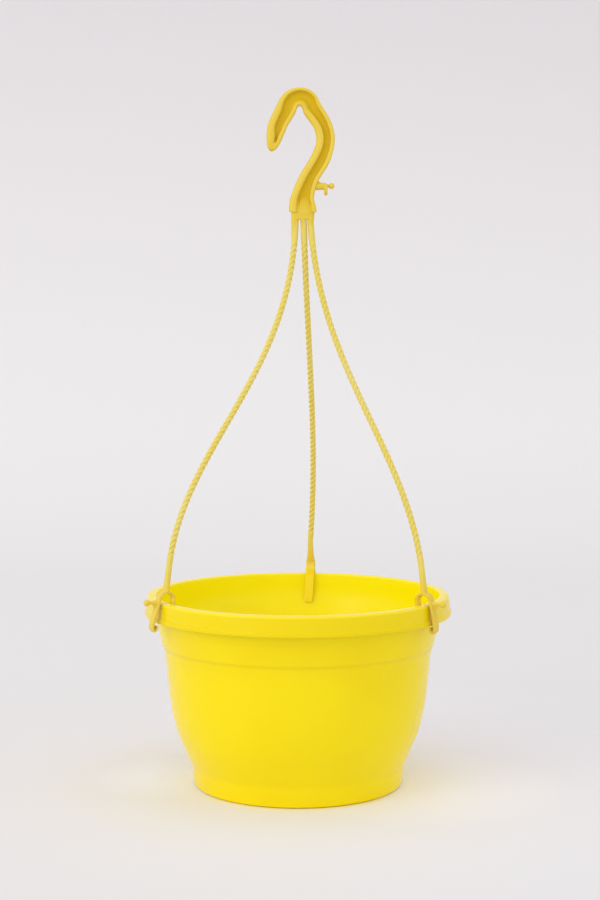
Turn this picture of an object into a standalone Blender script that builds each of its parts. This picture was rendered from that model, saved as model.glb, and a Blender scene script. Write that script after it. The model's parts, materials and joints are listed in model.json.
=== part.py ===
"""Hanging plant pot: a round moulded pot and the three-strand hanger that clips over its rim.

Shapes are given in millimetres and made in metres, +Z up. The origin is the middle of the pot's
base, on the surface that it stands on. The hook's recessed faces look along -Y and +Y.
"""

from math import asin, cos, pi, radians, sin

import bmesh
import bpy
from mathutils import Matrix, Vector

MM = 0.001
GAP = 0.3                    # running gap between neighbouring pieces

# Pot
RIM_RADIUS = 125.0
RIM_TOP = 156.0
RIM_TOP_RADIUS = 120.9       # where the flat top of the rim starts to round over
SKIRT_BOTTOM = 140.0
NECK_RADIUS = 116.8          # outside of the wall, inside the skirt
STEP_HEIGHT = 114.6
FOOT_HEIGHT = 16.6
FOOT_RADIUS = 87.2
BASE_RADIUS = 84.3
WALL = 1.5
BASE_LIFT = 2.4              # the ring with the drain holes stands this far off the ground
DRAIN_RADIUS = 4.5
DRAIN_CIRCLE = 61.0
DRAIN_COUNT = 6
POT_SEGMENTS = 48
BOWL_POINTS = 11

# Hanger
CLIP_ANGLES = {"left": 209.0, "right": -33.6, "back": 84.6}
HOOK_X = 4.0                 # the hook hangs a little right of the pot's axis
COLLAR_BOTTOM = 465.2
HOOK_DEPTH = 9.0
WEB = 3.0                    # thickness left between the recesses of the hook's two faces
RIDGE = 3.0                  # width of the raised edge round each recess
RECESS_STARTS = 0.07         # as a part of the way from the hook's tip to the collar's bottom
RECESS_ENDS = 0.92
TIP_TAPER = 3.0              # loss of depth at the tip
HOOK_STATIONS = 42
STRAND_DIAMETER = 4.7
STRAND_POINTS = 32
STRAND_TOP = 458.0           # the nod axis: strand tops are half balls about it
STRAND_FOOT = 186.0
STRAND_FOOT_RADIUS = 115.4
# Foot of each strand: reach of the curve's lower handle, its lean towards the pot's axis and its lean sideways
STRAND_FEET = {
    "left": (96.0, 0.149, 0.0),
    "right": (94.0, 0.165, 0.0),
    "back": (90.0, 0.14, -0.081),
}
# Top of each strand: sideways place, reach of the curve's upper handle and its lean sideways
STRAND_TOPS = {
    "left": (-6.0, 126.0, -0.0256),
    "right": (6.1, 120.0, 0.063),
    "back": (0.5, 115.0, 0.0315),
}

# Clip, in the upright plane through the pot's axis: distance from the axis, then height
ARCH_CENTRE = (118.3, 158.6)
ARCH_RADIUS = 6.2            # to the middle of the band
CLIP_WIDTH = 8.6
JAW_WIDTH = 7.0
BAND = 2.1
HINGE_ANGLE = 36.0           # of the jaw's flexure, up from the horizontal on the arch
JAW_SPREAD = {"left": 7.5, "right": 0.0, "back": 0.0}  # degrees each jaw stands open below its shoulder
JAW_SHOULDER = (126.0, 154.6)

PEG_BALL = 2.5
BALL_STEPS = 6
PEG_HEIGHT = 157.2
PEG_REACH = 134.8

POT_YELLOW = (0.90, 0.72, 0.02, 1.0)
HANGER_YELLOW = (0.84, 0.62, 0.05, 1.0)


def clear_scene():
    for thing in list(bpy.data.objects):
        bpy.data.objects.remove(thing, do_unlink=True)


def plastic(name, colour, roughness):
    material = bpy.data.materials.new(name)
    material.use_nodes = True
    shader = material.node_tree.nodes["Principled BSDF"]
    shader.inputs["Base Color"].default_value = colour
    shader.inputs["Roughness"].default_value = roughness
    shader.inputs["Metallic"].default_value = 0.0
    return material


def through(points, count):
    """`count` points on a smooth curve through `points`, by Catmull-Rom."""
    points = [Vector(p) for p in points]
    ends = [2 * points[0] - points[1]] + points + [2 * points[-1] - points[-2]]
    found = []
    for i in range(count):
        place = i * (len(points) - 1) / (count - 1)
        k = min(int(place), len(points) - 2)
        t = place - k
        a, b, c, d = ends[k:k + 4]
        found.append(0.5 * (2 * b + (c - a) * t + (2 * a - 5 * b + 4 * c - d) * t * t
                            + (3 * b - a - 3 * c + d) * t ** 3))
    return found


def add_mesh(name, build, material, place=(0, 0, 0), turn=0.0, sharp=35.0):
    """One object in metres from a bmesh that `build` fills in millimetres.

    Its origin is at `place`. Then both are turned about the pot's axis by `turn`.
    """
    mesh = bpy.data.meshes.new(name)
    shape = bmesh.new()
    build(shape)
    bmesh.ops.recalc_face_normals(shape, faces=shape.faces)
    bmesh.ops.translate(shape, verts=shape.verts, vec=-Vector(place))
    bmesh.ops.scale(shape, verts=shape.verts, vec=(MM, MM, MM))
    shape.to_mesh(mesh)
    shape.free()
    mesh.shade_smooth()
    mesh.set_sharp_from_angle(angle=radians(sharp))
    mesh.materials.append(material)
    thing = bpy.data.objects.new(name, mesh)
    thing.rotation_euler.z = turn
    thing.location = Matrix.Rotation(turn, 3, "Z") @ Vector(place) * MM
    bpy.context.scene.collection.objects.link(thing)
    return thing


def clamp(value):
    return min(1.0, max(0.0, value))


def loft(shape, rings):
    """A closed skin over rings of the same number of points, with a flat cap on each end."""
    made = [[shape.verts.new(point) for point in ring] for ring in rings]
    for low, high in zip(made, made[1:]):
        for i in range(len(low)):
            j = (i + 1) % len(low)
            shape.faces.new((low[i], low[j], high[j], high[i]))
    shape.faces.new(made[0][::-1])
    shape.faces.new(made[-1])


def circle_level(x, y, z, radius, sides):
    angles = [2 * pi * k / sides for k in range(sides)]
    return [Vector((x + radius * cos(a), y + radius * sin(a), z)) for a in angles]


def octagon(half_x, half_y, corner):
    """A rectangle with cut corners, as (x, y) pairs."""
    right = [(half_x, corner - half_y), (half_x, half_y - corner)]
    left = [(-x, -y) for x, y in right]
    far = [(half_x - corner, half_y), (corner - half_x, half_y)]
    near = [(-x, -y) for x, y in far]
    return right + far + left + near


def spin_profile(shape, profile, segments):
    """Turns (radius, height) points about Z. Points on the axis become single poles."""
    rings = []
    for radius, height in profile:
        if radius == 0:
            rings.append([shape.verts.new((0, 0, height))] * segments)
            continue
        angles = [2 * pi * i / segments for i in range(segments)]
        rings.append([shape.verts.new((radius * cos(a), radius * sin(a), height)) for a in angles])
    for low, high in zip(rings, rings[1:]):
        for i in range(segments):
            j = (i + 1) % segments
            corners = []
            for vert in (low[i], low[j], high[j], high[i]):
                if vert not in corners:
                    corners.append(vert)
            shape.faces.new(corners)


def join(target, tool, operation):
    """Applies a Boolean of `tool` to `target` as a modifier, with `tool` left as a hidden guide."""
    tool.hide_render = True
    tool.display_type = "WIRE"
    modifier = target.modifiers.new(tool.name, "BOOLEAN")
    modifier.operation = operation
    modifier.object = tool
    modifier.solver = "EXACT"


# ---------------------------------------------------------------- pot

def bowl(inset):
    """The bowl's outline from foot to step, moved in by `inset`."""
    outline = through([(87.9, 17.8), (93.2, 30), (98.7, 43.5), (102.4, 57), (104.7, 70),
                       (106.9, 90), (108.3, 105), (109.9, STEP_HEIGHT - 0.7)], BOWL_POINTS)
    return [(p.x - inset, p.y) for p in outline]


def flared_band(inset):
    """From the step to the rim's underside."""
    outline = [(110.8, STEP_HEIGHT), (113.4, 126), (115.8, 137), (NECK_RADIUS, 146)]
    return [(r - inset, z) for r, z in outline]


def pot_profile():
    skirt_inside = RIM_RADIUS - 2.1
    outside = [(0, 0), (44, 0), (46.4, BASE_LIFT), (76, BASE_LIFT), (78.4, 0), (BASE_RADIUS - 0.9, 0),
               (BASE_RADIUS, 0.9), (FOOT_RADIUS, FOOT_HEIGHT)]
    rim = [(NECK_RADIUS, RIM_TOP - 1.7), (skirt_inside - 1.7, RIM_TOP - 1.7), (skirt_inside, SKIRT_BOTTOM),
           (RIM_RADIUS - 0.6, SKIRT_BOTTOM), (RIM_RADIUS, SKIRT_BOTTOM + 0.7),
           (RIM_RADIUS, SKIRT_BOTTOM + 2.5), (RIM_RADIUS - 0.5, SKIRT_BOTTOM + 3.2),
           (RIM_TOP_RADIUS + 2.2, RIM_TOP - 2.4), (RIM_TOP_RADIUS + 1.6, RIM_TOP - 0.8),
           (RIM_TOP_RADIUS, RIM_TOP), (NECK_RADIUS + 0.2, RIM_TOP), (NECK_RADIUS - 1.1, RIM_TOP - 0.5),
           (NECK_RADIUS - WALL, RIM_TOP - 1.6)]
    inside = flared_band(WALL)[::-1] + bowl(WALL)[::-1]
    floor = [(FOOT_RADIUS - 2.2, FOOT_HEIGHT - 1.2), (BASE_RADIUS - 1.3, 3.6), (BASE_RADIUS - 3.0, WALL),
             (78.9, WALL), (76.6, BASE_LIFT + WALL), (45.8, BASE_LIFT + WALL), (43.4, WALL), (0, WALL)]
    return outside + bowl(0) + flared_band(0) + rim + inside + floor


def make_pot(material):
    pot = add_mesh("pot", lambda shape: spin_profile(shape, pot_profile(), POT_SEGMENTS), material)

    def drills(shape):
        for i in range(DRAIN_COUNT):
            angle = 2 * pi * (i + 0.5) / DRAIN_COUNT
            x, y = DRAIN_CIRCLE * cos(angle), DRAIN_CIRCLE * sin(angle)
            loft(shape, [circle_level(x, y, z, DRAIN_RADIUS, 16) for z in (-2, 9)])

    join(pot, add_mesh("drain_drills", drills, material), "DIFFERENCE")


# ---------------------------------------------------------------- hook

# Outer and inner edge of the hook from its tip, over the top and down to the collar:
# sideways from the collar's middle, then height above the collar's bottom
HOOK_EDGES = [
    ((-27.3, 49.0), (-23.4, 48.7)),
    ((-28.6, 52.2), (-20.4, 51.8)),
    ((-29.4, 58.4), (-16.8, 58.0)),
    ((-29.2, 65.0), (-14.3, 64.6)),
    ((-27.6, 72.0), (-12.6, 68.6)),
    ((-21.6, 84.4), (-7.9, 76.0)),
    ((-18.2, 91.0), (-5.5, 80.6)),
    ((-13.2, 96.2), (-5.0, 82.8)),
    ((-7.2, 98.6), (-4.1, 84.2)),
    ((-1.2, 99.0), (-2.9, 84.8)),
    ((4.9, 97.8), (-1.6, 84.2)),
    ((10.5, 93.4), (-0.4, 82.2)),
    ((14.3, 86.4), (1.2, 77.6)),
    ((22.5, 72.6), (8.8, 66.6)),
    ((25.8, 57.6), (10.7, 56.8)),
    ((21.7, 40.2), (7.0, 45.6)),
    ((12.6, 24.8), (-3.0, 28.4)),
    ((9.4, 12.4), (-9.6, 12.6)),
    ((10.2, 6.6), (-10.8, 6.8)),
    ((11.2, 1.5), (-11.3, 1.5)),
    ((10.2, 0.0), (-10.3, 0.0)),
]


def hook_section(outer, inner, depth, recess):
    """The hook's I-shaped section between its two edges, as a ring of points."""
    across = inner - outer
    width = across.length
    ridge = min(RIDGE, 0.3 * width)
    face = depth / 2
    floor = face - recess
    edge = min(0.9, 0.2 * width)
    half = [(0, face - 0.9), (edge, face), (ridge - 0.3, face), (ridge + 0.5, floor)]
    half += [(width - along, y) for along, y in reversed(half)]
    ring = [(a, y) for a, y in half] + [(a, -y) for a, y in reversed(half)]
    points = []
    for along, y in ring:
        edge_point = outer + across * (along / width)
        points.append(Vector((HOOK_X + edge_point.x, y, COLLAR_BOTTOM + edge_point.y)))
    return points


def make_hook(material):
    outer = through([pair[0] for pair in HOOK_EDGES], HOOK_STATIONS)
    inner = through([pair[1] for pair in HOOK_EDGES], HOOK_STATIONS)
    full = (HOOK_DEPTH - WEB) / 2
    rings = []
    for i, (a, b) in enumerate(zip(outer, inner)):
        from_tip = i / (HOOK_STATIONS - 1)
        start = clamp((from_tip - RECESS_STARTS) / 0.05)
        end = clamp((RECESS_ENDS - from_tip) / 0.03)
        depth = HOOK_DEPTH - TIP_TAPER * clamp(1 - i / 3)
        rings.append(hook_section(a, b, depth, full * start * end))
    pivot = (HOOK_X, 0, STRAND_TOP)
    return add_mesh("hook", lambda shape: loft(shape, rings), material, pivot)


def make_strand_root(material):
    """The block that joins the three strands: wide across them and thin from front to back."""
    bottom = STRAND_TOP + STRAND_DIAMETER / 2 + GAP
    top = COLLAR_BOTTOM - GAP
    rings = [octagon_level(bottom, 9.2, 2.7, 1.1), octagon_level(top, 9.5, 2.7, 1.1)]
    return add_mesh("strand_root", lambda shape: loft(shape, rings), material, (HOOK_X, 0, STRAND_TOP))


def octagon_level(height, half_x, half_y, corner):
    return [Vector((HOOK_X + x, y, height)) for x, y in octagon(half_x, half_y, corner)]


def turned_along_x(profile, start, height, sides):
    """Rings of a turned shape whose axis runs along X, from (distance, radius, drop) points."""
    rings = []
    for along, radius, drop in profile:
        ring = circle_level(0, height - drop, start + along, radius, sides)
        rings.append([Vector((point.z, point.x, point.y)) for point in ring])
    return rings


def ball_profile(middle, radius, neck):
    """Profile over a ball, from where a neck of that radius enters it to its far pole."""
    entry = pi - asin(neck / radius)
    pole = 0.12
    angles = [entry + (pole - entry) * i / BALL_STEPS for i in range(BALL_STEPS + 1)]
    return [(middle + radius * cos(a), radius * sin(a), 0) for a in angles]


def make_hook_peg(material):
    """Tapered pin, stop flange that reaches further down than up, thin neck and ball."""
    height = COLLAR_BOTTOM + 20.9
    start = HOOK_X + 12.3
    pin = [(0, 3.1, 0.3), (5.9, 2.9, 0.3), (5.9, 4.9, 2.4), (7.2, 4.9, 2.4), (7.5, 1.1, 0)]
    rings = turned_along_x(pin + ball_profile(10.7, 2.4, 1.1), start, height, 12)
    return add_mesh("hook_peg", lambda shape: loft(shape, rings), material, (HOOK_X, 0, STRAND_TOP))


# ---------------------------------------------------------------- strands and clips

def strand_route(side):
    """Cubic curve from the clip's stem up to the hook: a stiff strand held upright at both ends."""
    offset, reach, lean = STRAND_TOPS[side]
    rise, inward, sideways = STRAND_FEET[side]
    angle = radians(CLIP_ANGLES[side])
    outward = Vector((cos(angle), sin(angle), 0))
    across = Vector((-sin(angle), cos(angle), 0))
    foot = outward * STRAND_FOOT_RADIUS + Vector((0, 0, STRAND_FOOT + GAP))
    foot_handle = foot + rise * (Vector((0, 0, 1)) - inward * outward + sideways * across)
    top = Vector((HOOK_X + offset, 0, STRAND_TOP))
    top_handle = top + reach * Vector((lean, 0, -1))
    route = []
    for i in range(STRAND_POINTS):
        t = i / (STRAND_POINTS - 1)
        s = 1 - t
        route.append(s ** 3 * foot + 3 * s * s * t * foot_handle + 3 * s * t * t * top_handle + t ** 3 * top)
    return route


def make_strand(side, material):
    """A round tube along the strand's route, with a half ball on top."""
    name = "strand_" + side
    route = strand_route(side)
    widths = [1.0] * len(route)
    for angle in (25, 50, 75):
        route.append(route[STRAND_POINTS - 1] + Vector((0, 0, STRAND_DIAMETER / 2 * sin(radians(angle)))))
        widths.append(cos(radians(angle)))
    curve = bpy.data.curves.new(name, "CURVE")
    curve.dimensions = "3D"
    curve.bevel_depth = STRAND_DIAMETER / 2 * MM
    curve.bevel_resolution = 2
    curve.use_fill_caps = True
    spline = curve.splines.new("POLY")
    spline.points.add(len(route) - 1)
    for point, place, width in zip(spline.points, route, widths):
        point.co = (*(place * MM), 1.0)
        point.radius = width
    spline.use_smooth = True
    curve.materials.append(material)
    strand = bpy.data.objects.new(name, curve)
    bpy.context.scene.collection.objects.link(strand)
    return strand


def band_rings(path):
    """Eight-sided sections along a path in the X-Z plane. Each entry is (x, z, width, thickness)."""
    rings = []
    for i, (x, z, width, thick) in enumerate(path):
        before = path[max(i - 1, 0)]
        after = path[min(i + 1, len(path) - 1)]
        along = Vector((after[0] - before[0], 0, after[1] - before[1])).normalized()
        normal = Vector((-along.z, 0, along.x))
        outline = octagon(width / 2, thick / 2, 0.29 * thick)
        rings.append([Vector((x, a, z)) + normal * b for a, b in outline])
    return rings


def on_arch(degrees):
    angle = radians(degrees)
    return ARCH_CENTRE[0] + ARCH_RADIUS * cos(angle), ARCH_CENTRE[1] + ARCH_RADIUS * sin(angle)


def make_clip(side, material):
    """Stem, arch over the rim, and the flat leg that lies inside the pot."""
    turn = radians(CLIP_ANGLES[side])
    arch = [(*on_arch(a), CLIP_WIDTH, BAND) for a in (HINGE_ANGLE + 14, 70, 90, 115, 140, 165)]
    leg = [(112.9, 155.0, CLIP_WIDTH, 2.0), (112.1, 143.5, CLIP_WIDTH, 1.9), (111.3, 132.5, 8.0, 1.7)]
    stem = [(STRAND_FOOT_RADIUS, STRAND_FOOT, STRAND_DIAMETER, STRAND_DIAMETER), (116.5, 178.0, 4.4, 4.0),
            (117.5, 171.0, 6.2, 3.8), (118.2, 166.6, 8.2, 3.8), (118.3, 165.2, 8.2, 3.8)]
    place = (ARCH_CENTRE[0], 0, ARCH_CENTRE[1])
    clip = add_mesh("clip_" + side, lambda shape: loft(shape, band_rings(arch + leg)), material, place, turn)
    tool = add_mesh("stem_" + side, lambda shape: loft(shape, band_rings(stem)), material, place, turn)
    join(clip, tool, "UNION")
    return clip


def jaw_pivot():
    return on_arch(HINGE_ANGLE)


def spread(r, height, side):
    """The point once the jaw below its shoulder has turned outwards."""
    if height > JAW_SHOULDER[1]:
        return r, height
    a = radians(JAW_SPREAD[side])
    over = r - JAW_SHOULDER[0]
    down = height - JAW_SHOULDER[1]
    return JAW_SHOULDER[0] + over * cos(a) - down * sin(a), JAW_SHOULDER[1] + over * sin(a) + down * cos(a)


def make_jaw(side, material):
    """Outer leg: it starts in a round at the flexure and ends in a barb under the skirt."""
    x, z = jaw_pivot()
    outline = [(x, z, 2.0), (*on_arch(14), 2.0), (125.5, 156.0, BAND), (126.8, 150.5, BAND),
               (127.9, 145.0, BAND), (128.6, 139.6, BAND), (128.4, 136.2, BAND), (127.0, 134.7, 2.0),
               (125.4, 135.7, 1.6), (124.6, 139.0, 1.4)]
    path = [(*spread(r, height, side), JAW_WIDTH, thick) for r, height, thick in outline]
    turn = radians(CLIP_ANGLES[side])
    return add_mesh("jaw_" + side, lambda shape: loft(shape, band_rings(path)), material, (x, 0, z), turn)


def make_peg(side, material):
    """Ball-ended peg standing out of the jaw."""
    x, z = jaw_pivot()
    start = 127.0
    profile = [(0, 1.9, 0), (1.6, 1.4, 0), (3.0, 1.3, 0)]
    rings = turned_along_x(profile + ball_profile(PEG_REACH - start, PEG_BALL, 1.3), start, PEG_HEIGHT, 12)
    turn = radians(CLIP_ANGLES[side])
    return add_mesh("peg_" + side, lambda shape: loft(shape, rings), material, (x, 0, z), turn)


def main():
    clear_scene()
    pot_plastic = plastic("pot_plastic", POT_YELLOW, 0.28)
    hanger_plastic = plastic("hanger_plastic", HANGER_YELLOW, 0.38)
    make_pot(pot_plastic)
    make_hook(hanger_plastic)
    make_strand_root(hanger_plastic)
    make_hook_peg(hanger_plastic)
    for side in CLIP_ANGLES:
        make_strand(side, hanger_plastic)
        make_clip(side, hanger_plastic)
        make_jaw(side, hanger_plastic)
        make_peg(side, hanger_plastic)


main()
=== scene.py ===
"""Detailed looks of the hanging pot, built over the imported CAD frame.

Shapes are worked out in millimetres in the frame of the CAD model, and become metres when a mesh
is made. The pot's axis is Z, the pot stands on z = 0, and the hook's recessed faces look along -Y
and +Y. Materials measure in metres, like the meshes.
"""

import json
from math import asin, cos, pi, radians, sin, sqrt, tan

import bmesh
import bpy
from mathutils import Matrix, Vector

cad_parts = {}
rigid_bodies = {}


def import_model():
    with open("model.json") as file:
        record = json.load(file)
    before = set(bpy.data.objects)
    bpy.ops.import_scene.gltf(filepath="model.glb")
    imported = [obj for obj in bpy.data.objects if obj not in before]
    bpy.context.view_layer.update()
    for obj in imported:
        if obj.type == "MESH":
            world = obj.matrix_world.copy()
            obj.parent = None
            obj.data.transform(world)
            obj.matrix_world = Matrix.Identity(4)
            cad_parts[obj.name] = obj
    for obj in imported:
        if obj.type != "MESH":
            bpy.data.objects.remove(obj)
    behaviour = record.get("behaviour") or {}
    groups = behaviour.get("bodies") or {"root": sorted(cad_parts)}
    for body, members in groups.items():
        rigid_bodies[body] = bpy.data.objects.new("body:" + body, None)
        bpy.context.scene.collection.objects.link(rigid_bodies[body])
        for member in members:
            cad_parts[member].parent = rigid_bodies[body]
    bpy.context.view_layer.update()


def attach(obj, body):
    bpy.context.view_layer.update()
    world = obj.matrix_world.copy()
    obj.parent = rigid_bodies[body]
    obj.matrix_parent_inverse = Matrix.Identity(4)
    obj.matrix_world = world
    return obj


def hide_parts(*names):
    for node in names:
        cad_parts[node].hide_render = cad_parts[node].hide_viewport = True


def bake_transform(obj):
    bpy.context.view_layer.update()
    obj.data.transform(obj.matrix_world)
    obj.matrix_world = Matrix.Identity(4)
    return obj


for thing in list(bpy.data.objects):
    bpy.data.objects.remove(thing, do_unlink=True)
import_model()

MM = 0.001

# Pot
RIM_RADIUS = 125.0
RIM_TOP = 156.0
RIM_TOP_RADIUS = 120.9
SKIRT_BOTTOM = 140.0
NECK_RADIUS = 116.8
STEP_HEIGHT = 114.6
FOOT_HEIGHT = 16.6
FOOT_RADIUS = 87.2
BASE_RADIUS = 84.3
WALL = 1.5
BASE_LIFT = 2.4
DRAIN_RADIUS = 4.5
DRAIN_CIRCLE = 61.0
DRAIN_COUNT = 6
POT_SEGMENTS = 192

# Hanger
CLIP_ANGLES = {"left": 209.0, "right": -33.6, "back": 84.6}
HOOK_X = 4.0
COLLAR_BOTTOM = 465.2
HOOK_DEPTH = 9.0
WEB = 1.8
NOD_HEIGHT = 458.0
STRAND_RADIUS = 2.6
STRAND_FOOT = 186.3
STRAND_FOOT_RADIUS = 115.4
# Foot of each strand: reach of the curve's lower handle, and its leans towards the pot's axis and sideways
STRAND_FEET = {
    "left": (96.0, 0.149, 0.0),
    "right": (94.0, 0.165, 0.0),
    "back": (90.0, 0.14, -0.081),
}
# Top of each strand: sideways place, reach of the curve's upper handle and its lean sideways
STRAND_TOPS = {
    "left": (-6.0, 126.0, -0.0256),
    "right": (6.1, 120.0, 0.063),
    "back": (0.5, 115.0, 0.0315),
}
ROPE_PLIES = 3
ROPE_LEAD = 14.2             # length in which a ply goes once round
ROPE_GROOVE = 1.15
ROPE_STEP = 0.5              # distance between the rope's rings
ROPE_ROOT = 3.0              # length of each rope that is sunk in its clip's stem
ROPE_ROOT_RADIUS = 2.2
ARCH_CENTRE = (118.3, 158.6)
ARCH_RADIUS = 6.2
CLIP_WIDTH = 7.6
JAW_WIDTH = 7.2
JAW_SPREAD = {"left": 7.5, "right": 0.0, "back": 0.0}  # degrees each jaw stands open below its shoulder
JAW_SHOULDER = (126.0, 154.6)
LEG_LEAN = {"left": 0.0, "right": 0.0, "back": 1.5}    # how far the foot of each inner leg stands aside
LEG_DROP = 27.0              # height of the arch's centre above the leg's foot
BAND = 2.1                   # thickness of the arch

# Pigments, and tones that paint light, shade and a highlight
POT_YELLOW = (0.95, 0.75, 0.001)
# Paler tone on the pot's inner surfaces and floor: painted light
POT_INSIDE_LIT = (0.985, 0.855, 0.0005)
# Darker tone on the rim's outside and in the corner under the step: painted shade
POT_SHADE = (0.875, 0.675, 0.0008)
# Paler tone on the rim's rounded top: painted highlight
POT_CROWN_HIGHLIGHT = (1.0, 0.84, 0.05)
# Paler tone under the rim's skirt: painted light that softens the shade there
POT_UNDER_SKIRT_LIGHT = (1.0, 0.85, 0.001)
HANGER_YELLOW = (0.79, 0.582, 0.062)
STRAND_YELLOW = (0.785, 0.645, 0.14)
# Darker tone in the hook's recesses and on the tongue inside the recess: painted shade
HOOK_RECESS_SHADE = (0.70, 0.47, 0.001)
# Paler tone on the clips' legs inside the pot: painted light
CLIP_INSIDE_LIT = (0.98, 0.77, 0.03)

# Grain of the plastic: how fine each noise is, and how the drag lines and scuffs are stretched
CLOUD_SCALE = 17.0
WAVE_SCALE = 95.0
DRAG_SCALE = 120.0
SCUFF_SCALE = 210.0
FINE_SCALE = 1100.0
POT_FLOW = (1.0, 1.0, 0.06)
HANGER_FLOW = (1.0, 1.0, 0.12)
SCUFF_STRETCH = (1.0, 0.16, 0.35)

# Sweep paper: its tone on the floor, then towards the back and up the wall, and the painted yellow bounce
# light in the shade round the pot's foot
PAPER_FLOOR = (0.78, 0.765, 0.775)
PAPER_BACK = (0.838, 0.825, 0.832)
PAPER_HIGH = (0.755, 0.728, 0.742)
PAPER_FOOT_BOUNCE = (0.93, 0.84, 0.45)
# Painted pools of light on the floor: tone, middle, and the radii where it is full and where it ends, in
# metres
PAPER_LIGHT_POOLS = [
    ((0.865, 0.858, 0.92), (0.08, 0.02), 0.06, 0.40),
    ((0.95, 0.935, 1.0), (0.105, -0.02), 0.01, 0.12),
    ((0.88, 0.885, 1.0), (-0.105, 0.01), 0.02, 0.07),
]


def clamp(value, low=0.0, high=1.0):
    return min(high, max(low, value))


def smooth_step(value):
    t = clamp(value)
    return t * t * (3 - 2 * t)


def through(points, count):
    """`count` points on a smooth curve through `points`, by Catmull-Rom."""
    points = [Vector(p) for p in points]
    ends = [2 * points[0] - points[1]] + points + [2 * points[-1] - points[-2]]
    found = []
    for i in range(count):
        place = i * (len(points) - 1) / (count - 1)
        k = min(int(place), len(points) - 2)
        t = place - k
        a, b, c, d = ends[k:k + 4]
        found.append(0.5 * (2 * b + (c - a) * t + (2 * a - 5 * b + 4 * c - d) * t * t
                            + (3 * b - a - 3 * c + d) * t ** 3))
    return found


# ---------------------------------------------------------------- meshes

def new_piece(name, build, material, sharp=38.0):
    """An object in metres from a bmesh that `build` fills in millimetres."""
    mesh = bpy.data.meshes.new(name)
    shape = bmesh.new()
    build(shape)
    bmesh.ops.recalc_face_normals(shape, faces=shape.faces)
    bmesh.ops.scale(shape, verts=shape.verts, vec=(MM, MM, MM))
    shape.to_mesh(mesh)
    shape.free()
    mesh.shade_smooth()
    mesh.set_sharp_from_angle(angle=radians(sharp))
    mesh.materials.append(material)
    piece = bpy.data.objects.new(name, mesh)
    bpy.context.scene.collection.objects.link(piece)
    return piece


def settle(piece, sharp=38.0):
    """Replaces the piece's mesh by what its modifiers make of it."""
    graph = bpy.context.evaluated_depsgraph_get()
    made = bpy.data.meshes.new_from_object(piece.evaluated_get(graph))
    piece.modifiers.clear()
    piece.data = made
    made.shade_smooth()
    if sharp:
        made.set_sharp_from_angle(angle=radians(sharp))


def fuse(piece, voxel, rounds):
    """Melts the overlapping shapes of a piece into one skin with moulded-in corners."""
    remesh = piece.modifiers.new("fuse", "REMESH")
    remesh.mode = "VOXEL"
    remesh.voxel_size = voxel * MM
    soften = piece.modifiers.new("soften", "SMOOTH")
    soften.factor = 0.5
    soften.iterations = rounds
    settle(piece, sharp=None)


def loft(shape, rings):
    """A closed skin over rings of the same number of points, with a flat cap on each end."""
    made = [[shape.verts.new(point) for point in ring] for ring in rings]
    for low, high in zip(made, made[1:]):
        for i in range(len(low)):
            j = (i + 1) % len(low)
            shape.faces.new((low[i], low[j], high[j], high[i]))
    shape.faces.new(made[0][::-1])
    shape.faces.new(made[-1])


def spin_profile(shape, profile, segments):
    """Turns (radius, height) points about Z. Points on the axis become single poles."""
    rings = []
    for radius, height in profile:
        if radius == 0:
            rings.append([shape.verts.new((0, 0, height))] * segments)
            continue
        angles = [2 * pi * i / segments for i in range(segments)]
        rings.append([shape.verts.new((radius * cos(a), radius * sin(a), height)) for a in angles])
    for low, high in zip(rings, rings[1:]):
        for i in range(segments):
            j = (i + 1) % segments
            corners = []
            for vert in (low[i], low[j], high[j], high[i]):
                if vert not in corners:
                    corners.append(vert)
            shape.faces.new(corners)


def oval(middle, across, deep, half_across, half_deep, sides, square=1.0):
    """Ring of points round `middle`. `square` below 1 swells an ellipse towards a rectangle."""
    ring = []
    for k in range(sides):
        a = 2 * pi * k / sides
        u = abs(cos(a)) ** square * (1 if cos(a) >= 0 else -1)
        v = abs(sin(a)) ** square * (1 if sin(a) >= 0 else -1)
        ring.append(middle + across * (half_across * u) + deep * (half_deep * v))
    return ring


def rounded(corners, steps=5):
    """Outline through (x, y, radius) corners, each turned on about that radius."""
    outline = []
    for i, (x, y, radius) in enumerate(corners):
        here = Vector((x, y))
        if radius == 0:
            outline.append(here)
            continue
        back = Vector(corners[i - 1][:2]) - here
        on = Vector(corners[i + 1][:2]) - here
        half = back.angle(on) / 2
        reach = min(radius / tan(half), 0.49 * back.length, 0.49 * on.length)
        start = here + back.normalized() * reach
        end = here + on.normalized() * reach
        for k in range(steps + 1):
            t = k / steps
            outline.append((1 - t) ** 2 * start + 2 * t * (1 - t) * here + t * t * end)
    return outline


# ---------------------------------------------------------------- materials

def wire(tree, source, target):
    tree.links.new(source, target)


def noise_node(tree, place, scale, detail, stretch=(1, 1, 1)):
    mapping = tree.nodes.new("ShaderNodeMapping")
    mapping.inputs["Scale"].default_value = stretch
    grain = tree.nodes.new("ShaderNodeTexNoise")
    grain.inputs["Scale"].default_value = scale
    grain.inputs["Detail"].default_value = detail
    wire(tree, place.outputs["Object"], mapping.inputs["Vector"])
    wire(tree, mapping.outputs["Vector"], grain.inputs["Vector"])
    return grain.outputs["Fac"]


def to_range(tree, value, low, high, new_low, new_high):
    ranged = tree.nodes.new("ShaderNodeMapRange")
    ranged.clamp = True
    limits = {"From Min": low, "From Max": high, "To Min": new_low, "To Max": new_high}
    for socket, number in limits.items():
        ranged.inputs[socket].default_value = number
    wire(tree, value, ranged.inputs["Value"])
    return ranged.outputs["Result"]


def arithmetic(tree, operation, *values):
    node = tree.nodes.new("ShaderNodeMath")
    node.operation = operation
    for value, socket in zip(values, node.inputs):
        wire(tree, value, socket)
    return node.outputs["Value"]


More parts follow.
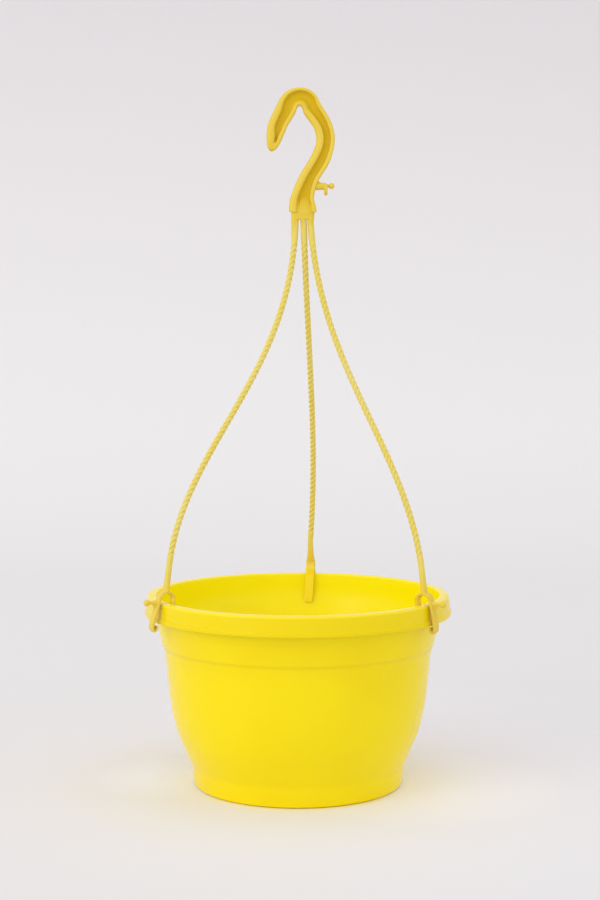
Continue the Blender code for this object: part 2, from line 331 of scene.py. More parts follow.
def part_of(tree, vector, axis):
    """One coordinate of a vector."""
    split = tree.nodes.new("ShaderNodeSeparateXYZ")
    wire(tree, vector, split.inputs["Vector"])
    return split.outputs[axis]


def off_axis(tree, place):
    """The way from the pot's axis straight out to the place."""
    flat = tree.nodes.new("ShaderNodeVectorMath")
    flat.operation = "MULTIPLY"
    flat.inputs[1].default_value = (1, 1, 0)
    wire(tree, place.outputs["Object"], flat.inputs[0])
    return flat.outputs["Vector"]


def reach_of(tree, place):
    """Distance from the pot's axis."""
    reach = tree.nodes.new("ShaderNodeVectorMath")
    reach.operation = "LENGTH"
    wire(tree, off_axis(tree, place), reach.inputs[0])
    return reach.outputs["Value"]


def facing_out(tree, place):
    """Distance from the pot's axis times how far the surface faces away from it."""
    along = tree.nodes.new("ShaderNodeVectorMath")
    along.operation = "DOT_PRODUCT"
    wire(tree, off_axis(tree, place), along.inputs[0])
    wire(tree, place.outputs["Normal"], along.inputs[1])
    return along.outputs["Value"]


def toned(tree, colour, tone, factor):
    """`colour`, three numbers or another mix, mixed towards `tone` by `factor`."""
    mixed = tree.nodes.new("ShaderNodeMix")
    mixed.data_type = "RGBA"
    mixed.inputs["B"].default_value = (*tone, 1)
    if isinstance(colour, tuple):
        mixed.inputs["A"].default_value = (*colour, 1)
    else:
        wire(tree, colour, mixed.inputs["A"])
    wire(tree, factor, mixed.inputs["Factor"])
    return mixed.outputs["Result"]


# Zones of the plastic with a tone of their own, most of which paint light, shade and a highlight: each is a
# factor, 0 outside the zone and up to 1 in it.

def by_height(tree, place, low, high, below, above):
    """`below` under a height of `low` millimetres, `above` over `high`, and in between them a slope."""
    return to_range(tree, part_of(tree, place.outputs["Object"], "Z"), low * MM, high * MM, below, above)


def inward_lit(tree, place):
    """The surfaces that face the pot's axis, where a paler tone paints light inside the pot."""
    return to_range(tree, facing_out(tree, place), -0.06, -0.02, 1, 0)


def inner_floor_lit(tree, place):
    """The pot's floor, seen from above, where a paler tone paints light inside the pot."""
    upward = to_range(tree, part_of(tree, place.outputs["Normal"], "Z"), 0.4, 0.8, 0, 1)
    return arithmetic(tree, "MULTIPLY", by_height(tree, place, 20.0, 30.0, 1, 0), upward)


def rim_band_shade(tree, place):
    """The thick outside of the rim and its skirt, where a darker tone paints shade."""
    outside = to_range(tree, reach_of(tree, place), 0.119, 0.1225, 0, 1)
    above = by_height(tree, place, SKIRT_BOTTOM - 1.5, SKIRT_BOTTOM + 0.5, 0, 1)
    return arithmetic(tree, "MULTIPLY", above, outside)


def rim_crown_highlight(tree, place):
    """The rounded top of the rim, where a paler tone paints a highlight."""
    return by_height(tree, place, RIM_TOP - 2.6, RIM_TOP - 0.8, 0, 0.5)


def under_skirt_light(tree, place):
    """The corner under the rim's skirt, where a paler tone paints light into the shade."""
    rise = by_height(tree, place, SKIRT_BOTTOM - 7.5, SKIRT_BOTTOM - 2.0, 0, 0.8)
    end = by_height(tree, place, SKIRT_BOTTOM - 1.5, SKIRT_BOTTOM - 0.5, 1, 0)
    return arithmetic(tree, "MULTIPLY", rise, end)


def under_step_shade(tree, place):
    """The corner under the step, where a darker tone paints shade."""
    rise = by_height(tree, place, STEP_HEIGHT - 1.6, STEP_HEIGHT - 0.6, 0, 0.55)
    end = by_height(tree, place, STEP_HEIGHT + 0.7, STEP_HEIGHT + 1.4, 1, 0)
    return arithmetic(tree, "MULTIPLY", rise, end)


def clip_stem(tree, place):
    """The clip's stem, as far up as it is as thin and pale as its strand."""
    return by_height(tree, place, 168.0, 185.0, 0, 1)


def inside_leg_lit(tree, place):
    """The broad faces of a clip's leg inside the pot, but not its edges or its arch, where a paler tone
    paints light.
    """
    broad = to_range(tree, arithmetic(tree, "ABSOLUTE", facing_out(tree, place)), 0.03, 0.07, 0, 1)
    inside = to_range(tree, reach_of(tree, place), 0.115, 0.117, 1, 0)
    leg = arithmetic(tree, "MULTIPLY", by_height(tree, place, 159.0, 164.0, 1, 0), inside)
    return arithmetic(tree, "MULTIPLY", broad, leg)


def fan_foot(tree, place):
    """The fan's lower end, which is as thin and pale as the strands."""
    return by_height(tree, place, NOD_HEIGHT - 20.0, NOD_HEIGHT, 1, 0)


def tongue_top_shade(tree, place):
    """The tongue that fills the hook's recess above the collar, where the recess's darker tone paints shade.
    """
    return by_height(tree, place, 466.0, 477.0, 0.1, 0.85)


def near_web_shade(tree, place):
    """The hook's recesses, near its middle plane, but not its ridges or outer edges, where a darker tone
    paints shade.
    """
    deep = arithmetic(tree, "ABSOLUTE", part_of(tree, place.outputs["Object"], "Y"))
    facing = arithmetic(tree, "ABSOLUTE", part_of(tree, place.outputs["Normal"], "Y"))
    sunk = to_range(tree, deep, 0.0012, 0.0042, 1, 0)
    return arithmetic(tree, "MULTIPLY", sunk, to_range(tree, facing, 0.12, 0.3, 0, 1))


def moulded_plastic(name, colour, roughness, peel, flow, zones=()):
    """Yellow plastic with cloudy pigment, orange peel, drag lines from the mould and light scuffs.

    `peel` is the orange peel's depth in millimetres, and `flow` stretches the drag lines. Each of
    `zones` is a zone's function and its tone; many zones paint light and shade.
    """
    material = bpy.data.materials.new(name)
    material.use_nodes = True
    tree = material.node_tree
    shader = tree.nodes["Principled BSDF"]
    place = tree.nodes.new("ShaderNodeTexCoord")
    red, green, blue = colour

    cloud = to_range(tree, noise_node(tree, place, CLOUD_SCALE, 4.0), 0.3, 0.7, 0, 1)
    scuff = noise_node(tree, place, SCUFF_SCALE, 2.0, SCUFF_STRETCH)
    thin = (red * 0.985, green * 0.965, blue * 0.8)
    rich = (min(1, red * 1.012), green * 1.025, blue * 1.25)
    scuffed = (red, green * 1.04, blue + 0.012)
    pigment = toned(tree, thin, rich, cloud)
    pigment = toned(tree, pigment, scuffed, to_range(tree, scuff, 0.6, 0.78, 0, 0.05))
    # Zones mix in their tones, many of which paint light and shade
    for zone, tone in zones:
        pigment = toned(tree, pigment, tone, zone(tree, place))
    wire(tree, pigment, shader.inputs["Base Color"])

    drag = noise_node(tree, place, DRAG_SCALE, 3.0, flow)
    rough = to_range(tree, drag, 0.3, 0.7, roughness - 0.035, roughness + 0.045)
    rougher = to_range(tree, scuff, 0.63, 0.72, 0, 0.02)
    wire(tree, arithmetic(tree, "ADD", rough, rougher), shader.inputs["Roughness"])

    fine = noise_node(tree, place, FINE_SCALE, 2.0)
    wave = noise_node(tree, place, WAVE_SCALE, 2.0)
    normal = None
    for height, depth in ((fine, peel), (wave, peel * 5.0), (drag, peel * 1.2)):
        bump = tree.nodes.new("ShaderNodeBump")
        bump.inputs["Strength"].default_value = 1.0
        bump.inputs["Distance"].default_value = depth * MM
        wire(tree, height, bump.inputs["Height"])
        if normal:
            wire(tree, normal, bump.inputs["Normal"])
        normal = bump.outputs["Normal"]
    wire(tree, normal, shader.inputs["Normal"])

    shader.inputs["Metallic"].default_value = 0.0
    shader.inputs["IOR"].default_value = 1.5
    shader.inputs["Specular IOR Level"].default_value = 0.19
    return material


def hanger_finish(name, colour=HANGER_YELLOW, zones=(), roughness=0.32, peel=0.008):
    return moulded_plastic(name, colour, roughness, peel, HANGER_FLOW, zones)


def light_pool(tree, place, middle, inner, outer):
    """1 within `inner` metres of a point on the floor and 0 beyond `outer`."""
    away = tree.nodes.new("ShaderNodeVectorMath")
    away.operation = "DISTANCE"
    away.inputs[1].default_value = (*middle, 0)
    wire(tree, place.outputs["Object"], away.inputs[0])
    return to_range(tree, away.outputs["Value"], inner, outer, 1, 0)


def sweep_paper():
    """Pale paper, a little lighter on the wall than on the floor, with painted pools of light on the floor
    and painted yellow bounce light in the shade in front of the pot's foot.
    """
    material = bpy.data.materials.new("sweep_paper")
    material.use_nodes = True
    tree = material.node_tree
    shader = tree.nodes["Principled BSDF"]
    shader.inputs["Roughness"].default_value = 0.8
    shader.inputs["Specular IOR Level"].default_value = 0.2
    place = tree.nodes.new("ShaderNodeTexCoord")
    depth = part_of(tree, place.outputs["Object"], "Y")
    height = part_of(tree, place.outputs["Object"], "Z")
    colour = toned(tree, PAPER_FLOOR, PAPER_BACK, to_range(tree, depth, -0.2, 1.8, 0, 1))
    colour = toned(tree, colour, PAPER_HIGH, to_range(tree, height, 0.2, 1.1, 0, 1))
    # Painted pools of light on the floor
    for tone, middle, inner, outer in PAPER_LIGHT_POOLS:
        colour = toned(tree, colour, tone, light_pool(tree, place, middle, inner, outer))
    # Painted yellow light bounced from the pot into the shade, in a ring in front of its foot
    front = to_range(tree, depth, -0.065, -0.04, 1, 0)
    ring = to_range(tree, reach_of(tree, place), 0.087, 0.092, 1, 0)
    colour = toned(tree, colour, PAPER_FOOT_BOUNCE, arithmetic(tree, "MULTIPLY", front, ring))
    wire(tree, colour, shader.inputs["Base Color"])
    return material


# ---------------------------------------------------------------- pot

def bowl(inset):
    outline = through([(88.3, 18.9), (93.2, 30), (98.7, 43.5), (102.4, 57), (104.7, 70),
                       (106.9, 90), (108.3, 105), (109.9, STEP_HEIGHT - 0.7)], 40)
    return [(p.x - inset, p.y, 0) for p in outline]


def flared_band(inset):
    outline = through([(110.8, STEP_HEIGHT + 0.2), (113.4, 126), (115.8, 137), (NECK_RADIUS, 146)], 14)
    return [(p.x - inset, p.y, 0) for p in outline]


def pot_outline():
    """Half section of the pot, from the middle of its underside round the rim to the inside floor."""
    skirt_inside = RIM_RADIUS - 2.1
    under = [(0, 0.5, 0), (2.6, 0.5, 0.2), (3.0, 1.0, 0.2), (4.6, 1.0, 0.2), (5.2, 0, 0.4), (44, 0, 0.8),
             (46.4, BASE_LIFT, 0.8), (76, BASE_LIFT, 0.8), (78.4, 0, 0.8), (BASE_RADIUS - 1.6, 0, 0.3),
             (BASE_RADIUS - 1.2, 0.5, 0.2), (BASE_RADIUS + 0.9, 0.6, 0.7),
             (FOOT_RADIUS - 0.1, FOOT_HEIGHT - 0.6, 3.0)]
    rim = [(NECK_RADIUS, RIM_TOP - 1.7, 0.8), (skirt_inside - 1.9, RIM_TOP - 1.9, 0.9),
           (skirt_inside, SKIRT_BOTTOM, 0.5), (RIM_RADIUS, SKIRT_BOTTOM, 0.7),
           (RIM_RADIUS, SKIRT_BOTTOM + 3.0, 0.6), (RIM_RADIUS - 0.9, SKIRT_BOTTOM + 3.4, 0.4),
           (RIM_TOP_RADIUS + 2.0, RIM_TOP - 0.1, 2.6), (NECK_RADIUS - WALL + 0.2, RIM_TOP, 1.5)]
    floor = [(FOOT_RADIUS - 2.2, FOOT_HEIGHT - 1.2, 0.8), (BASE_RADIUS - 1.9, WALL, 2.6),
             (78.9, WALL, 0.8), (76.6, BASE_LIFT + WALL, 0.8), (45.8, BASE_LIFT + WALL, 0.8),
             (43.4, WALL, 0.8), (0, WALL, 0)]
    corners = under + bowl(0) + flared_band(0) + rim + flared_band(WALL)[::-1] + bowl(WALL)[::-1] + floor
    return [(max(0.0, p.x), p.y) for p in rounded(corners)]


def drain_drill(shape, turn):
    """A drill for one hole of the base, wider at both of the hole's edges."""
    middle = Vector((DRAIN_CIRCLE * cos(turn), DRAIN_CIRCLE * sin(turn), 0))
    wide = DRAIN_RADIUS + 0.4
    top = BASE_LIFT + WALL
    levels = [(-2, wide), (BASE_LIFT, wide), (BASE_LIFT + 0.5, DRAIN_RADIUS),
              (top - 0.3, DRAIN_RADIUS), (top + 0.1, wide), (9, 5)]
    loft(shape, [oval(middle + Vector((0, 0, z)), Vector((1, 0, 0)), Vector((0, 1, 0)), r, r, 32)
                 for z, r in levels])


def make_pot(material):
    pot = new_piece("pot_shell", lambda shape: spin_profile(shape, pot_outline(), POT_SEGMENTS), material)

    def drills(shape):
        for i in range(DRAIN_COUNT):
            drain_drill(shape, 2 * pi * (i + 0.5) / DRAIN_COUNT)

    tool = new_piece("drain_drills", drills, material)
    cut = pot.modifiers.new("drains", "BOOLEAN")
    cut.operation = "DIFFERENCE"
    cut.solver = "EXACT"
    cut.object = tool
    settle(pot)
    bpy.data.objects.remove(tool, do_unlink=True)
    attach(pot, "pot")
    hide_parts("pot")


# ---------------------------------------------------------------- hook

# Outer and inner edge of the hook from its tip, over the top and down to the collar:
# sideways from the collar's middle, then height above the collar's bottom
HOOK_EDGES = [
    ((-27.2, 48.7), (-23.7, 48.4)),
    ((-28.7, 52.2), (-20.4, 51.8)),
    ((-29.4, 58.4), (-16.9, 58.0)),
    ((-29.35, 62.0), (-15.4, 61.8)),
    ((-29.1, 65.2), (-13.9, 64.9)),
    ((-27.6, 72.0), (-12.3, 68.9)),
    ((-21.6, 84.4), (-7.9, 76.0)),
    ((-18.2, 91.0), (-5.5, 80.6)),
    ((-13.2, 96.2), (-5.0, 82.8)),
    ((-7.2, 98.6), (-4.1, 84.2)),
    ((-1.2, 99.0), (-2.9, 84.8)),
    ((4.9, 97.6), (-1.6, 84.2)),
    ((10.5, 93.2), (-0.4, 82.2)),
    ((14.2, 86.2), (1.2, 77.6)),
    ((22.4, 72.4), (8.8, 66.6)),
    ((25.7, 57.6), (10.6, 56.8)),
    ((21.6, 40.2), (6.8, 45.6)),
    ((12.4, 24.8), (-3.3, 28.4)),
    ((9.0, 12.4), (-9.9, 12.6)),
    ((9.9, 6.6), (-11.0, 6.8)),
    ((11.0, 1.8), (-11.5, 1.8)),
    ((10.9, 0.4), (-11.2, 0.4)),
    ((10.2, 0.0), (-10.5, 0.0)),
]
HOOK_STATIONS = 190
RIDGE = 2.8
LEFT_RIDGE = 2.6             # the ridge on the hook's left is this much wider
CORNER_STEPS = 5
# Lengths along the hook from its tip
TIP_ROUND = 2.4              # the tip is rounded off over this length
TIP_THIN = (2.6, 11.0)       # how much thinner the tip is, and where the full depth is reached
TIP_NARROW = (6.0, 16.0)     # where the recess starts to widen from the tip, and over what length
RECESS_START = (5.0, 5.0)    # where the recess starts, and over what length it deepens
HOOK_LOW_RUN = 100.0         # past this length the recess thins out towards the collar
NOTCH_HEIGHT = 74.0          # height above the collar's bottom of the hook's inner corner


def hook_section(outer, inner, depth, recess, shrink, notch, tip):
    """Ring of points round the hook: two ridges with rolled edges and a drafted recess between.

    `notch` is 1 above the hook's inner corner, where the ridges thin out and the inner one
    has a long slope. `tip` is 1 at the tip, where the recess narrows.
    """
    across = inner - outer
    middle = (inner + outer) / 2
    width = across.length * shrink
    leftness = across.x / across.length
    ridges = [(RIDGE + LEFT_RIDGE * max(0.0, side)) * (1 - thinner * notch) + wider * tip
              for side, thinner, wider in ((leftness, 0.3, 1.4), (-leftness, 0.55, 0.6))]
    rolls = [1.3 + 2.2 * max(0.0, side) for side in (leftness, -leftness)]
    slopes = [1.7, 1.7 + 3.6 * notch]
    fit = min(1.0, width / (sum(ridges) + sum(slopes) + 0.5))
    face = depth / 2 * shrink
    half = []
    for side in (0, 1):
        roll = rolls[side] * fit
        drop = min(roll, 0.7 * face)
        edge = [(roll * (1 - cos(a)), face - drop * (1 - sin(a)))
                for a in (pi / 2 * k / CORNER_STEPS for k in range(CORNER_STEPS + 1))]
        top = ridges[side] * fit
        wall = [(top + slopes[side] * fit * t, face - recess * shrink * smooth_step(t))
                for t in (0, 0.14, 0.28, 0.42, 0.57, 0.71, 0.85, 1)]
        run = edge + wall
        half += run if side == 0 else [(width - a, y) for a, y in reversed(run)]
    ring = half + [(a, -y) for a, y in reversed(half)]
    start = middle - across.normalized() * (width / 2)
    points = []
    for along, y in ring:
        p = start + across.normalized() * along
        points.append(Vector((HOOK_X + p.x, y, COLLAR_BOTTOM + p.y)))
    return points


def make_hook(material):
    outer = through([pair[0] for pair in HOOK_EDGES], HOOK_STATIONS)
    inner = through([pair[1] for pair in HOOK_EDGES], HOOK_STATIONS)
    full = (HOOK_DEPTH - WEB) / 2
    rings = []
    run = 0.0
    before = (outer[0] + inner[0]) / 2
    for out, into in zip(outer, inner):
        middle = (out + into) / 2
        run += (middle - before).length
        before = middle
        recess = full * smooth_step((run - RECESS_START[0]) / RECESS_START[1])
        if run > HOOK_LOW_RUN:
            recess *= 0.45 + 0.55 * smooth_step((middle.y - 2.0) / 9.0)
        depth = HOOK_DEPTH - TIP_THIN[0] * (1 - smooth_step(run / TIP_THIN[1]))
        shrink = sqrt(max(0.02, 1 - max(0.0, 1 - (run + 0.15) / TIP_ROUND) ** 2))
        notch = smooth_step((into.y - NOTCH_HEIGHT) / 8)
        tip = 1 - smooth_step((run - TIP_NARROW[0]) / TIP_NARROW[1])
        rings.append(hook_section(out, into, depth, recess, shrink, notch, tip))
    hook = new_piece("hook_body", lambda shape: loft(shape, rings), material, sharp=50)
    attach(hook, "hook")
    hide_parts("hook")


def turned(middle, axis, profile, sides=28):
    """Rings about `axis` through `middle`, from (distance, radius, drop) points."""
    down = Vector((0, 0, -1))
    side = axis.cross(down).normalized()
    return [oval(middle + axis * along + down * drop, side, down, radius, radius, sides)
            for along, radius, drop in profile]


def ball(middle, radius, neck):
    entry = pi - asin(neck / radius)
    angles = [entry * (1 - i / 12) + 0.06 * i / 12 for i in range(13)]
    return [(middle + radius * cos(a), radius * sin(a), 0) for a in angles]


def wedge(shape, corners, deep, thick):
    """A flat web with the given corners, `thick` across along `deep`."""
    loft(shape, [[c + deep * (thick / 2) * side for c in corners] for side in (-1, 1)])


def make_hook_peg(material):
    right = Vector((1, 0, 0))
    root = Vector((HOOK_X + 9.0, 0, COLLAR_BOTTOM + 20.9))

    def build(shape):
        pin = [(0, 3.3, 0.2), (4.0, 3.15, 0.2), (9.3, 2.75, 0.2), (10.2, 1.2, 0)]
        loft(shape, turned(root, right, pin))
        stop = [(8.1, 4.2, 2.8), (8.6, 4.8, 2.9), (10.3, 4.8, 2.9), (10.8, 4.2, 2.8)]
        loft(shape, turned(root, right, stop))
        neck = [(9.6, 1.25, 0), (11.2, 1.15, 0)]
        loft(shape, turned(root, right, neck + ball(14.0, 2.5, 1.15)))
        gusset = [root + Vector(c) for c in ((0.5, 0, 2.0), (0.5, 0, 8.5), (2.2, 0, 6.4), (5.0, 0, 2.0))]
        wedge(shape, gusset, Vector((0, 1, 0)), 2.2)

    peg = new_piece("hook_stop_peg", build, material)
    fuse(peg, 0.2, 4)
    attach(peg, "hook")
    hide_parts("hook_peg")


# ---------------------------------------------------------------- strands

def strand_route(side, count):
    """Points along the strand, evenly spaced, from the clip's stem up to the nod axis."""
    offset, reach, lean = STRAND_TOPS[side]
    rise, lean_in, lean_aside = STRAND_FEET[side]
    angle = radians(CLIP_ANGLES[side])
    outward = Vector((cos(angle), sin(angle), 0))
    across = Vector((-sin(angle), cos(angle), 0))
    foot = outward * STRAND_FOOT_RADIUS + Vector((0, 0, STRAND_FOOT))
    foot_handle = foot + rise * (Vector((0, 0, 1)) - lean_in * outward + lean_aside * across)
    top = Vector((HOOK_X + offset, 0, NOD_HEIGHT))
    top_handle = top + reach * Vector((lean, 0, -1))
    fine = []
    for i in range(801):
        t = i / 800
        s = 1 - t
        fine.append(s ** 3 * foot + 3 * s * s * t * foot_handle
                    + 3 * s * t * t * top_handle + t ** 3 * top)
    runs = [0.0]
    for a, b in zip(fine, fine[1:]):
        runs.append(runs[-1] + (b - a).length)
    route = []
    k = 0
    for i in range(count):
        goal = runs[-1] * i / (count - 1)
        while k < len(fine) - 2 and runs[k + 1] < goal:
            k += 1
        t = (goal - runs[k]) / (runs[k + 1] - runs[k])
        route.append(fine[k].lerp(fine[k + 1], clamp(t)))
    return route, runs[-1]


def make_rope(side, material):
    """One strand moulded like a laid rope, running out smooth at the clip and at the hook."""
    length = strand_route(side, 3)[1]
    route, length = strand_route(side, int(length / ROPE_STEP))
    down = (route[0] - route[1]).normalized()
    route = [route[0] + down * (ROPE_ROOT - ROPE_STEP * i) for i in range(int(ROPE_ROOT / ROPE_STEP))] + route
    sides = 8 * ROPE_PLIES
    side_way = Vector((1, 0, 0))
    rings = []
    run = -ROPE_ROOT
    for i, here in enumerate(route):
        after = route[min(i + 1, len(route) - 1)]
        before = route[max(i - 1, 0)]
        along = (after - before).normalized()
        side_way = (side_way - along * side_way.dot(along)).normalized()
        other = along.cross(side_way)
        run += (here - before).length
        groove = ROPE_GROOVE * smooth_step((run - 3.0) / 8.0) * smooth_step((length - 14.0 - run) / 10.0)
        radius = ROPE_ROOT_RADIUS + (STRAND_RADIUS - ROPE_ROOT_RADIUS) * smooth_step(run / 4.0)
        ring = []
        for k in range(sides):
            a = 2 * pi * k / sides
            lobe = abs(cos(ROPE_PLIES / 2 * (a - 2 * pi * run / ROPE_LEAD)))
            r = radius - groove * (1 - lobe ** 0.8)
            ring.append(here + (side_way * cos(a) + other * sin(a)) * r)
        rings.append(ring)
    rope = new_piece("rope_" + side, lambda shape: loft(shape, rings), material, sharp=70)
    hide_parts("strand_" + side)
    nod_blend(rope)


def nod_blend(piece):
    """Bakes the piece's transform into its mesh."""
    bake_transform(piece)


# Height, half widths of the fan's left, right and middle strands, and their half depth
FAN_LEVELS = [
    (434.5, 1.6, 1.6, 1.6, 1.6),
    (438.0, 2.1, 2.1, 2.05, 2.1),
    (442.0, 2.35, 2.3, 2.1, 2.25),
    (446.0, 2.5, 2.3, 2.1, 2.35),
    (450.0, 2.75, 2.3, 2.1, 2.45),
    (454.0, 2.95, 2.35, 2.1, 2.6),
    (458.0, 3.1, 2.5, 2.2, 2.7),
    (462.0, 3.2, 3.0, 2.7, 2.8),
    (466.0, 3.2, 3.2, 3.2, 2.8),
]
FAN_PUSH = {"left": -0.5, "right": 0.15, "back": -0.3}    # how far each strand of the fan is moved sideways
# Sideways place, height, half width and half depth of the block under the collar and of the tongue
FAN_BLOCK = [(-0.6, 459.0, 8.2, 2.4), (-0.6, 460.0, 8.6, 2.75),
             (-0.6, 463.0, 8.8, 2.9), (-0.6, 468.0, 8.8, 2.9)]
FAN_TONGUE = [(0.4, 461.0, 6.4, 2.8), (0.9, 464.0, 5.9, 3.2), (1.2, 467.0, 5.6, 3.2),
              (1.4, 470.0, 5.2, 3.0), (1.5, 472.6, 4.8, 2.5), (1.5, 475.0, 4.4, 1.8),
              (1.4, 477.4, 4.0, 1.1)]


def make_fan(material):
    """The strands' roots, widening into the block under the collar and a tongue in its recess."""
    right = Vector((1, 0, 0))
    deep = Vector((0, 1, 0))

    def build(shape):
        for side in ("left", "right", "back"):
            route = strand_route(side, 600)[0]
            rings = []
            for height, left_half, right_half, middle_half, half_deep in FAN_LEVELS:
                near = min(route, key=lambda p: abs(p.z - height))
                half = {"left": left_half, "right": right_half, "back": middle_half}[side]
                push = FAN_PUSH[side] * smooth_step((height - 436) / 10)
                middle = Vector((near.x + push, near.y, height))
                rings.append(oval(middle, right, deep, half, half_deep, 24, 0.9))
            loft(shape, rings)
        for levels, sides, square in ((FAN_BLOCK, 48, 0.45), (FAN_TONGUE, 32, 0.5)):
            loft(shape, [oval(Vector((HOOK_X + x, 0, z)), right, deep, half, depth, sides, square)
                         for x, z, half, depth in levels])

    fan = new_piece("strand_fan", build, material)
    fuse(fan, 0.28, 5)
    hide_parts("strand_root")
    nod_blend(fan)


# ---------------------------------------------------------------- clips

# Reach, height, width and thickness along the stem, the inner leg and the jaw's barb, and reach and height
# along the jaw
STEM_PATH = [(114.9, 191.0, 4.3, 4.3), (115.4, 186.0, 4.7, 4.6), (116.5, 178.0, 5.0, 4.6),
             (117.3, 171.5, 6.0, 4.3), (118.0, 167.2, 7.8, 4.2), (118.3, 165.2, 8.4, 4.0)]
LEG_PATH = [(112.9, 155.0, CLIP_WIDTH, 2.2), (112.1, 143.5, CLIP_WIDTH, 2.1),
            (111.5, 134.0, CLIP_WIDTH, 2.0), (111.3, 131.2, CLIP_WIDTH - 1.0, 1.7)]
JAW_PATH = [(125.5, 156.0), (126.8, 150.5), (127.9, 145.0), (128.6, 139.6), (128.4, 136.2)]
BARB_PATH = [(127.0, 134.7, JAW_WIDTH, 2.2), (125.4, 135.7, JAW_WIDTH - 0.2, 1.9),
             (124.6, 138.9, JAW_WIDTH - 0.4, 1.6)]
PEG_PROFILE = [(0, 2.1, 0), (2.4, 1.6, 0), (4.4, 1.35, 0)]    # distance, radius and drop along the peg
PEG_HEIGHT = 157.2


def on_arch(degrees):
    angle = radians(degrees)
    return ARCH_CENTRE[0] + ARCH_RADIUS * cos(angle), ARCH_CENTRE[1] + ARCH_RADIUS * sin(angle)


def band_rings(path, square=0.35, sides=28, lean=0.0):
    """Soft-cornered sections along a path in the X-Z plane, from (x, z, width, thickness) points.

    `lean` is how far the foot of a leg stands off the plane.
    """
    rings = []
    for i, (x, z, width, thick) in enumerate(path):
        before = path[max(i - 1, 0)]
        after = path[min(i + 1, len(path) - 1)]
        along = Vector((after[0] - before[0], 0, after[1] - before[1])).normalized()
        normal = Vector((-along.z, 0, along.x))
        middle = Vector((x, lean * clamp((ARCH_CENTRE[1] - z) / LEG_DROP), z))
        rings.append(oval(middle, Vector((0, 1, 0)), normal, width / 2, thick / 2, sides, square))
    return rings


def spread(r, height, side):
    """The point once the jaw below its shoulder has turned outwards."""
    if height > JAW_SHOULDER[1]:
        return r, height
    a = radians(JAW_SPREAD[side])
    over = r - JAW_SHOULDER[0]
    down = height - JAW_SHOULDER[1]
    return (JAW_SHOULDER[0] + over * cos(a) - down * sin(a),
            JAW_SHOULDER[1] + over * sin(a) + down * cos(a))


def make_clip(side, material):
    """Stem, arch over the rim, inner leg, jaw with its barb, and the ball-ended peg."""
    arch = [(*on_arch(a), CLIP_WIDTH - 1.4 * smooth_step((50 - a) / 50), BAND + 0.2)
            for a in range(-8, 171, 9)]
    jaw = [(*point, JAW_WIDTH, 2.3) for point in [on_arch(0)] + JAW_PATH] + BARB_PATH
    root = Vector((JAW_SHOULDER[0], 0, PEG_HEIGHT))

    def build(shape):
        loft(shape, band_rings(arch + LEG_PATH, lean=LEG_LEAN[side]))
        loft(shape, band_rings([(*spread(r, z, side), wide, thick) for r, z, wide, thick in jaw]))
        loft(shape, band_rings(STEM_PATH, square=0.8))
        loft(shape, turned(root, Vector((1, 0, 0)), PEG_PROFILE + ball(8.8, 2.55, 1.3)))
        gusset = [root + Vector(c) for c in ((-0.2, 0, 0), (4.6, 0, 0), (1.0, 0, -8.2), (0.4, 0, -8.2))]
        wedge(shape, gusset, Vector((0, 1, 0)), 2.0)

    clip = new_piece("clip_moulding_" + side, build, material)
    clip.data.transform(Matrix.Rotation(radians(CLIP_ANGLES[side]), 4, "Z"))
    fuse(clip, 0.3, 3)
    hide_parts("clip_" + side, "jaw_" + side, "peg_" + side)
    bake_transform(clip)


# ---------------------------------------------------------------- studio

def make_sweep():
    """Pale floor that curves up into the backdrop."""
    bend = 1.2
    outline = [(-3.0, 0.0), (bend, 0.0)]
    outline += [(bend + bend * sin(a), bend - bend * cos(a)) for a in (pi / 2 * k / 24 for k in range(1, 25))]
    outline.append((2 * bend, 4.5))
    mesh = bpy.data.meshes.new("sweep")
    points = [(x, y, z) for y, z in outline for x in (-4.0, 4.0)]
    faces = [(2 * i, 2 * i + 1, 2 * i + 3, 2 * i + 2) for i in range(len(outline) - 1)]
    mesh.from_pydata(points, [], faces)
    mesh.shade_smooth()
    mesh.materials.append(sweep_paper())
    sweep = bpy.data.objects.new("sweep", mesh)
    bpy.context.scene.collection.objects.link(sweep)


def area_light(name, place, size, energy):
    """A white disk of light, turned to the object."""
    light = bpy.data.lights.new(name, "AREA")
    light.shape = "DISK"
    light.size = size
    light.energy = energy
    lamp = bpy.data.objects.new(name, light)
    lamp.location = place
    lamp.rotation_euler = (Vector((0, 0, 0.2)) - Vector(place)).to_track_quat("-Z", "Y").to_euler()
    bpy.context.scene.collection.objects.link(lamp)


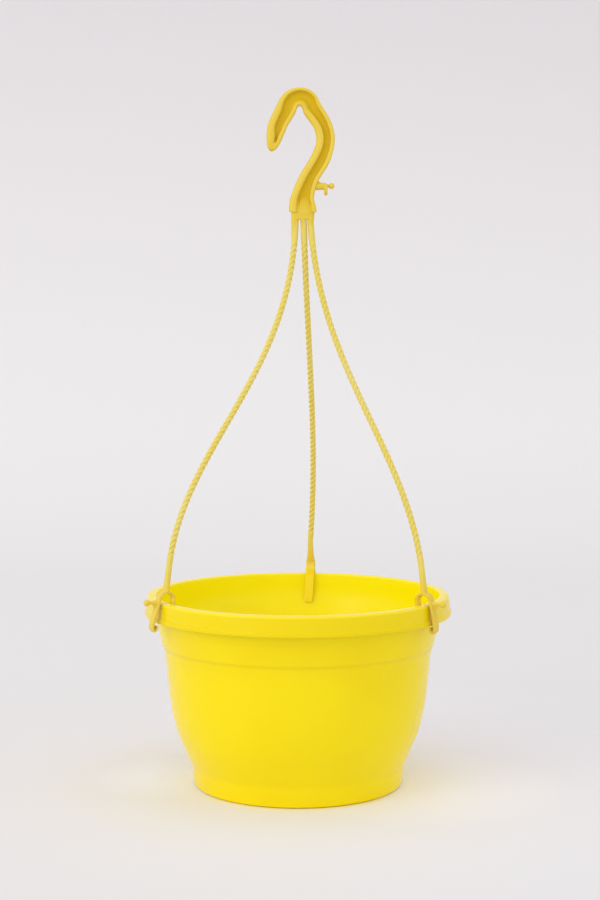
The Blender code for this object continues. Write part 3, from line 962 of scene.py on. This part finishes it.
def make_studio():
    make_sweep()
    area_light("key", (-2.2, -2.0, 1.6), 2.0, 16.6)
    area_light("side", (-2.6, -0.6, 1.2), 1.6, 2.8)
    world = bpy.data.worlds.new("studio")
    world.use_nodes = True
    tree = world.node_tree
    background = tree.nodes["Background"]
    background.inputs["Color"].default_value = (1.0, 0.995, 1.0, 1)
    way = tree.nodes.new("ShaderNodeTexCoord")
    from_left = part_of(tree, way.outputs["Generated"], "X")
    wire(tree, to_range(tree, from_left, -1, 1, 1.01, 0.99), background.inputs["Strength"])
    bpy.context.scene.world = world
    view = bpy.context.scene.view_settings
    view.view_transform = "Standard"
    view.look = "None"
    view.exposure = 0.0


def make_camera():
    data = bpy.data.cameras.new("camera")
    data.sensor_fit = "AUTO"
    data.sensor_width = 36.0
    data.lens = 66.437
    camera = bpy.data.objects.new("camera", data)
    camera.location = (0.0016, -1.35, 0.3568)
    camera.rotation_euler = (pi / 2 - 0.06214, 0, 0)
    bpy.context.scene.collection.objects.link(camera)
    bpy.context.scene.camera = camera


# ---------------------------------------------------------------- scene

# Most zones below paint light, shade and a highlight into the colour; the strand-coloured zones are the
# plastic's own colour
pot_plastic = moulded_plastic("pot_plastic", POT_YELLOW, 0.22, 0.012, POT_FLOW, [
    (under_skirt_light, POT_UNDER_SKIRT_LIGHT), (under_step_shade, POT_SHADE), (inward_lit, POT_INSIDE_LIT),
    (inner_floor_lit, POT_INSIDE_LIT), (rim_band_shade, POT_SHADE), (rim_crown_highlight, POT_CROWN_HIGHLIGHT)])
hook_plastic = hanger_finish("hook_plastic", zones=[(near_web_shade, HOOK_RECESS_SHADE)], roughness=0.28, peel=0.006)
peg_plastic = hanger_finish("hanger_plastic")
fan_plastic = hanger_finish("fan_plastic", zones=[(fan_foot, STRAND_YELLOW), (tongue_top_shade, HOOK_RECESS_SHADE)])
clip_plastic = hanger_finish("clip_plastic", zones=[(clip_stem, STRAND_YELLOW), (inside_leg_lit, CLIP_INSIDE_LIT)])
strand_plastic = hanger_finish("strand_plastic", STRAND_YELLOW)
make_pot(pot_plastic)
make_hook(hook_plastic)
make_hook_peg(peg_plastic)
make_fan(fan_plastic)
for side in CLIP_ANGLES:
    make_rope(side, strand_plastic)
    make_clip(side, clip_plastic)
make_camera()
make_studio()
